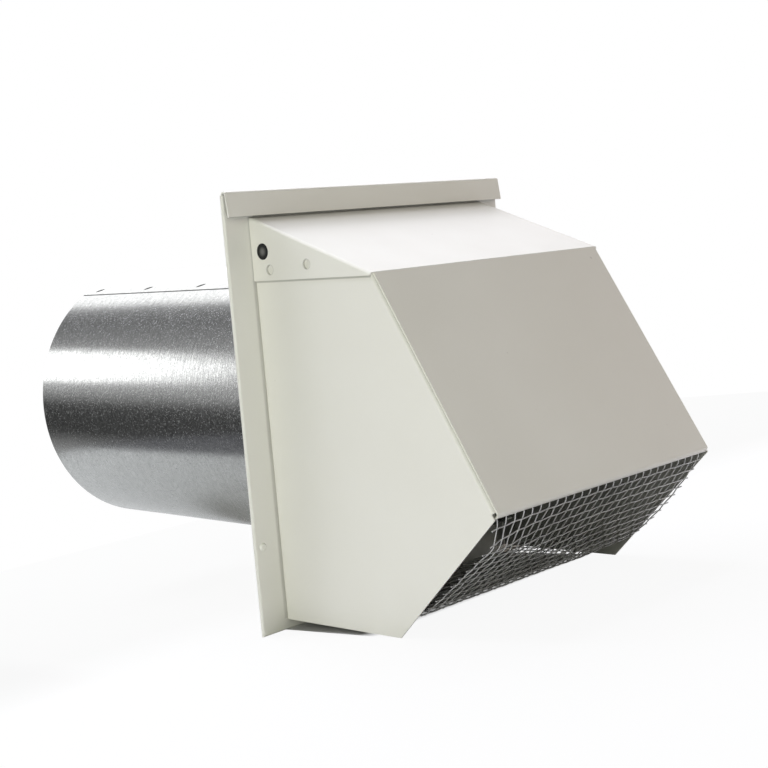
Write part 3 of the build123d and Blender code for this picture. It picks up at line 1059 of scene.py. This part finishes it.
    def bowed(self, tree: FieldTree, cloth: NodeSocket) -> NodeSocket:
        """Cloth with a crease on its bias at the left, a soft bow at the right and a little wander.

        Args:
            tree: the tree.
            cloth: the cloth with a flat front.

        Returns:
            The bent cloth.
        """
        top = Vector((0.0, *self.route[1])) * MM
        low = Vector((0.0, *self.route[2])) * MM
        way = (low - top).normalized()
        out = Vector((0.0, way.z, -way.y))
        place = tree.node("GeometryNodeInputPosition").outputs["Position"]
        from_left = tree.math("SUBTRACT", tree.axes(place)[0], tree.given("First X"))
        down = tree.vector_math("DOT_PRODUCT", tree.vector_math("SUBTRACT", place, tuple(top)), tuple(way))
        length = tree.given("Front Length")
        held = tree.between(down, 0.0, length)
        crest = tree.math("ADD", tree.given("Ridge Start"), tree.product(from_left, self.ridge_slope))
        crest = tree.between(crest, self.pitch, tree.math("SUBTRACT", length, self.pitch))
        above = tree.math("DIVIDE", held, crest)
        end = tree.math("ADD", length, self.ridge_tail)
        below = tree.math("DIVIDE", tree.math("SUBTRACT", end, held), tree.math("SUBTRACT", end, crest))
        ridge = tree.math("SMOOTH_MIN", above, below, self.ridge_soft)
        fade = tree.between(tree.math("DIVIDE", from_left, tree.given("Ridge Reach")), 0.0, 1.0)
        left = tree.product(tree.given("Ridge Height"), tree.math("SUBTRACT", 1.0, fade))
        right = tree.product(tree.given("Bow Right"), tree.product(fade, fade))
        part = tree.math("DIVIDE", held, length)
        hump = tree.product(part, tree.math("SUBTRACT", 1.0, part), 4.0)
        height = tree.math("ADD", tree.product(ridge, left), tree.product(hump, right))
        bow = tree.vector_math("SCALE", tuple(out), height)
        noise = tree.node(
            "ShaderNodeTexNoise",
            {"noise_dimensions": "4D"},
            Vector=place,
            W=tree.product(tree.given("Seed"), self.seed_step),
            Scale=self.wander_scale,
            Detail=1.0,
        )
        centred = tree.vector_math("SUBTRACT", noise.outputs["Color"], (0.5, 0.5, 0.5))
        drift = tree.vector_math("SCALE", centred, tree.product(tree.given("Wander"), 2.0))
        moved = tree.node(
            "GeometryNodeSetPosition", Geometry=cloth, Offset=tree.vector_math("ADD", bow, drift)
        )
        return moved.outputs["Geometry"]

    def tree(self) -> FieldTree:
        """Node tree that weaves the cloth.

        Returns:
            The tree with its named inputs.
        """
        tree = FieldTree("weave_cloth")
        for name in self.lengths():
            tree.input(name)
        tree.input("Long Wires", "NodeSocketInt")
        tree.input("Seed", "NodeSocketInt")
        tree.input("Wire", "NodeSocketMaterial")
        soft = tree.node(
            "GeometryNodeFilletCurve",
            {"mode": "POLY"},
            Curve=tree.given("Geometry"),
            Radius=tree.given("Fold"),
            Count=self.fold_steps,
            Limit_Radius=True,
        )
        route = soft.outputs["Curve"]
        joined = tree.node("GeometryNodeJoinGeometry")
        tree.put(joined.inputs["Geometry"], self.cross_set(tree, route))
        tree.put(joined.inputs["Geometry"], self.long_set(tree, route))
        whole = tree.node("GeometryNodeRealizeInstances", Geometry=joined.outputs["Geometry"])
        smooth = tree.node("GeometryNodeSetShadeSmooth", Geometry=self.bowed(tree, whole.outputs["Geometry"]))
        real = tree.node("GeometryNodeRealizeInstances", Geometry=smooth.outputs["Geometry"])
        painted = tree.node(
            "GeometryNodeSetMaterial", Geometry=real.outputs["Geometry"], Material=tree.given("Wire")
        )
        tree.put(tree.exit.inputs["Geometry"], painted.outputs["Geometry"])
        return tree

    def build(self) -> None:
        """Weaves the cloth and hands it to the frame."""
        route = self.route_curve()
        tree = self.tree()
        values = {**self.lengths(), "Long Wires": self.long_wires, "Seed": self.seed, "Wire": self.wire}
        weave = route.modifiers.new("weave", "NODES")
        weave.node_group = tree.tree
        for name, value in values.items():
            weave[tree.sockets[name]] = value
        mesh = evaluated_mesh(route)
        bpy.data.objects.remove(route)
        mesh.name = self.name
        hand_over(put_in_scene(self.name, mesh), self.node)


@dataclass
class Damper:
    """Flap, rod and bushings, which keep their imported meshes."""

    zinc: Material
    wire: Material
    nylon: Material

    def build(self) -> None:
        """Gives each its finish."""
        dress("damper_flap", self.zinc)
        dress("damper_rod", self.wire)
        dress("pivot_bushing_left", self.nylon)
        dress("pivot_bushing_right", self.nylon)


class RoomGraph(Graph):
    """Builder for the world's nodes."""

    def __init__(self, name: str) -> None:
        """Starts an empty tree and makes it the scene's world.

        Args:
            name: the world's name.
        """
        world = bpy.data.worlds.new(name)
        bpy.context.scene.world = world
        world.use_nodes = True
        super().__init__(world.node_tree)
        self.tree.nodes.clear()
        self.direction = self.node("ShaderNodeTexCoord").outputs["Generated"]

    def span(self, value: NodeSocket, low: float, high: float) -> NodeSocket:
        """Smooth step from 0 at the low value to 1 at the high one."""
        smooth = {"interpolation_type": "SMOOTHSTEP"}
        return self.node("ShaderNodeMapRange", smooth, value, low, high).outputs["Result"]


@dataclass(frozen=True)
class SoftLight:
    """One soft box of the studio."""

    name: str
    place: Colour
    aim: Colour
    width: float
    height: float
    radiance: float
    colour: Colour = (1.0, 1.0, 1.0)
    mirrored: bool = True

    def build(self) -> None:
        """Hangs the light and aims it."""
        light = bpy.data.lights.new(self.name, "AREA")
        light.shape = "RECTANGLE"
        light.size = self.width
        light.size_y = self.height
        light.energy = self.radiance * math.pi * self.width * self.height
        light.color = self.colour
        lamp = bpy.data.objects.new(self.name, light)
        bpy.context.scene.collection.objects.link(lamp)
        place = Vector(self.place)
        lamp.location = place
        lamp.rotation_mode = "QUATERNION"
        lamp.rotation_quaternion = (Vector(self.aim) - place).to_track_quat("-Z", "Y")
        lamp.visible_camera = False
        lamp.visible_glossy = self.mirrored


@dataclass
class Studio:
    """Camera, floor and lights."""

    eye: Colour = (-541.3, -530.4, 91.9)
    target: Colour = (-21.0, -19.9, 11.45)
    roll: float = -4.84
    focal: float = 1401.7
    image_side: float = 768.0
    sensor: float = 36.0
    plate_foot: Span = (-1.15, -105.4)
    hood_foot: Span = (-82.1, -98.3)
    floor_half_width: float = 0.9
    floor_front: float = -0.9
    floor_back: float = 0.42
    floor_colour: Colour = (0.54, 0.54, 0.53)
    floor_lit: Colour = (0.58, 0.58, 0.57)
    # Painted shade on the card behind the wall, darker near it, with a painted dark patch at the left.
    painted_shade_near_wall: Colour = (0.215, 0.218, 0.198)
    painted_shade_far_back: Colour = (0.33, 0.335, 0.305)
    far_range: Span = (0.06, 0.34)
    painted_dark_left: Colour = (0.05, 0.05, 0.05)
    # Painted light: the card glows under the pipe, near the wall.
    pipe_glow: float = 0.2
    glow_start: Span = (0.0, 0.03)
    pipe_side: Span = (0.16, 0.07)
    pipe_reach: Span = (0.21, 0.13)
    floor_burn: float = 0.93
    dark_range: Span = (-0.17, -0.19)
    dark_behind: Span = (0.02, 0.08)
    hood_shade: Span = (-0.066, -0.054)
    hood_half: float = 0.088
    room_low: float = 0.10
    room_high: float = 0.34
    backdrop: Colour = (1.0, 1.0, 1.0)
    panels: tuple[Span, ...] = (
        (-180.0, 0.30),
        (-104.0, 0.40),
        (-94.0, 1.95),
        (-10.5, 1.95),
        (-3.0, 0.27),
        (14.0, 0.18),
        (34.0, 0.34),
        (82.0, 0.52),
        (96.0, 0.045),
        (124.0, 0.03),
        (138.0, 0.35),
        (180.0, 0.30),
    )
    wedge_middle: float = 58.5
    wedge_half: float = 17.5
    wedge_edge: float = 4.0
    wedge_light: float = 2.7
    wedge_ends: Span = (0.755, 0.818)
    back_range: Span = (0.25, 0.6)
    rise_range: Span = (-0.05, 0.5)
    floor_cloud: float = 6.0

    def camera(self) -> None:
        """Puts the camera where the photograph was taken from."""
        data = bpy.data.cameras.new("photo_camera")
        data.sensor_width = self.sensor
        data.lens = self.focal / self.image_side * self.sensor
        data.clip_start = 0.01
        data.clip_end = 50.0
        camera = bpy.data.objects.new("photo_camera", data)
        bpy.context.scene.collection.objects.link(camera)
        eye = Vector(self.eye) * MM
        ahead = (Vector(self.target) * MM - eye).normalized()
        right = ahead.cross(Vector((0.0, 0.0, 1.0))).normalized()
        up = right.cross(ahead)
        angle = math.radians(self.roll)
        right_rolled = right * math.cos(angle) + up * math.sin(angle)
        up_rolled = up * math.cos(angle) - right * math.sin(angle)
        turn = Matrix((right_rolled, up_rolled, -ahead)).transposed()
        camera.matrix_world = Matrix.Translation(eye) @ turn.to_4x4()
        bpy.context.scene.camera = camera

    def floor(self) -> None:
        """Lays the floor that the plate's lower edge and the hood's tips rest on."""
        slope = (self.hood_foot[1] - self.plate_foot[1]) / (self.hood_foot[0] - self.plate_foot[0])
        corners = []
        for x, y in (
            (-self.floor_half_width, self.floor_front),
            (self.floor_half_width, self.floor_front),
            (self.floor_half_width, self.floor_back),
            (-self.floor_half_width, self.floor_back),
        ):
            height = self.plate_foot[1] * MM + slope * (y - self.plate_foot[0] * MM)
            corners.append((x, y, height))
        mesh = bpy.data.meshes.new("studio_floor")
        mesh.from_pydata(corners, [], [(0, 1, 2, 3)])
        mesh.materials.append(self.floor_card())
        put_in_scene("studio_floor", mesh)

    def floor_card(self) -> Material:
        """White card, nearly burnt out to the camera; to other rays a grey card with painted shade behind the
        wall, darkest near it and at the left, and a painted glow under the pipe.

        Returns:
            Its material.
        """
        graph = ShaderGraph("floor_card")
        x, y, _ = graph.axes(graph.coords)
        out = graph.math("ABSOLUTE", x)
        # Painted shade: behind the wall the card darkens towards the wall, and is darkest at the left.
        behind = graph.spread(y, *self.dark_behind)
        tone = graph.blend(graph.noise(self.floor_cloud), self.floor_colour, self.floor_lit)
        back = graph.blend(graph.spread(y, *self.far_range), self.painted_shade_near_wall, self.painted_shade_far_back)
        tone = graph.blend(behind, tone, back)
        tone = graph.blend(graph.product(graph.spread(x, *self.dark_range), behind), tone, self.painted_dark_left)
        card = graph.node("ShaderNodeBsdfDiffuse", Color=tone)
        # Painted light: a glow on the card under the pipe.
        under_pipe = graph.spread(y, *self.glow_start, 0.0, self.pipe_glow)
        reach = graph.spread(y, *self.pipe_reach)
        beside = graph.spread(out, *self.pipe_side)
        glow = graph.node("ShaderNodeEmission", Strength=graph.product(under_pipe, reach, beside))
        lit = graph.node("ShaderNodeAddShader", {}, card.outputs["BSDF"], glow.outputs["Emission"])
        white = graph.node("ShaderNodeEmission")
        seen = graph.node("ShaderNodeLightPath").outputs["Is Camera Ray"]
        under = graph.math("LESS_THAN", out, self.hood_half)
        front_of_wall = graph.math("LESS_THAN", y, 0.0)
        shade = graph.product(graph.spread(y, *self.hood_shade), under, front_of_wall)
        burn = graph.product(seen, self.floor_burn, graph.math("SUBTRACT", 1.0, shade))
        both = graph.node("ShaderNodeMixShader", {}, burn, lit.outputs["Shader"], white.outputs["Emission"])
        graph.put(graph.output.inputs["Surface"], both.outputs["Shader"])
        return graph.material

    def room_light(self, graph: "RoomGraph") -> NodeSocket:
        """Light of the room by direction: soft panels and dark gaps behind the wall's side, dim elsewhere.

        Args:
            graph: the world's tree.

        Returns:
            The strength.
        """
        x, y, z = graph.axes(graph.direction)
        turn = graph.math("ARCTAN2", graph.product(x, -1.0), z)
        degrees = graph.product(turn, 180.0 / math.pi)
        ramp = graph.node("ShaderNodeFloatCurve")
        curve = ramp.mapping.curves[0]
        top = max(light for _, light in self.panels)
        for index, (angle, light) in enumerate(self.panels):
            spot = (angle / 360.0 + 0.5, light / top)
            if index < 2:
                curve.points[index].location = spot
            else:
                curve.points.new(*spot)
        for point in curve.points:
            point.handle_type = "VECTOR"
        ramp.mapping.update()
        graph.put(ramp.inputs["Value"], graph.math("ADD", graph.math("DIVIDE", degrees, 360.0), 0.5))
        panels = graph.math("MULTIPLY", ramp.outputs["Value"], top)
        open_end = graph.span(y, *self.wedge_ends)
        reach = graph.math("MULTIPLY", open_end, self.wedge_half)
        off = graph.math("ABSOLUTE", graph.math("SUBTRACT", degrees, self.wedge_middle))
        inside = graph.math("DIVIDE", graph.math("SUBTRACT", reach, off), self.wedge_edge)
        wedge = graph.math("MULTIPLY", graph.span(inside, 0.0, 1.0), self.wedge_light)
        back = graph.math("ADD", panels, wedge)
        rise = graph.span(z, *self.rise_range)
        front = graph.math("ADD", self.room_low, graph.math("MULTIPLY", rise, self.room_high - self.room_low))
        share = graph.span(y, *self.back_range)
        kept = graph.math("MULTIPLY", front, graph.math("SUBTRACT", 1.0, share))
        return graph.math("ADD", kept, graph.math("MULTIPLY", back, share))

    def room(self) -> None:
        """Room round the table, with a white backdrop behind it."""
        graph = RoomGraph("studio_room")
        around = graph.node("ShaderNodeBackground", Strength=self.room_light(graph))
        behind = graph.node("ShaderNodeBackground", Color=self.backdrop)
        seen = graph.node("ShaderNodeLightPath").outputs["Is Camera Ray"]
        shaders = [background.outputs["Background"] for background in (around, behind)]
        both = graph.node("ShaderNodeMixShader", {}, seen, *shaders)
        graph.node("ShaderNodeOutputWorld", Surface=both.outputs["Shader"])

    def lights(self) -> None:
        """Hangs the soft boxes."""
        centre = (0.0, 0.0, 0.0)
        lip = (0.0, -0.05, 0.1)
        cool = (1.01, 1.02, 1.18)
        boxes = (
            SoftLight("top_box", (0.0, 0.8, 1.4), centre, 1.5, 0.9, 6.2, cool, mirrored=False),
            SoftLight("back_box", (0.0, 1.3, 1.15), centre, 1.5, 0.7, 8.3, cool, mirrored=False),
            SoftLight("left_panel", (-1.5, -0.8, 0.35), centre, 1.5, 1.3, 2.9, (0.979, 1.0, 0.879)),
            SoftLight("right_box", (0.5, -0.45, 0.32), lip, 0.4, 0.4, 0.82, (1.45, 1.0, 0.9), mirrored=False),
        )
        for box in boxes:
            box.build()

    def build(self) -> None:
        """Sets up the whole studio."""
        self.camera()
        self.floor()
        self.room()
        self.lights()
        bpy.context.scene.view_settings.view_transform = "Standard"
        LOG.info("studio ready")


def main() -> None:
    """Builds the studio and the pieces."""
    logging.basicConfig(level=logging.INFO, format="%(message)s")
    Studio().build()
    paint = BakedPaint().material()
    pipe_zinc = ZincCoat("pipe_zinc", seamed=True).material()
    flap_zinc = ZincCoat("flap_zinc", dent_depth=0.2 * MM).material()
    wire = DrawnWire().material()
    nylon = BlackNylon().material()
    backer_and_shade = BackerCoatAndShade().material()
    Flange(paint, backer_and_shade).build()
    Hood(paint, backer_and_shade).build()
    TailPipe(pipe_zinc, SeamShade().material()).build()
    WireCloth(wire).build()
    Damper(flap_zinc, wire, nylon).build()


if __name__ == "__main__":
    main()
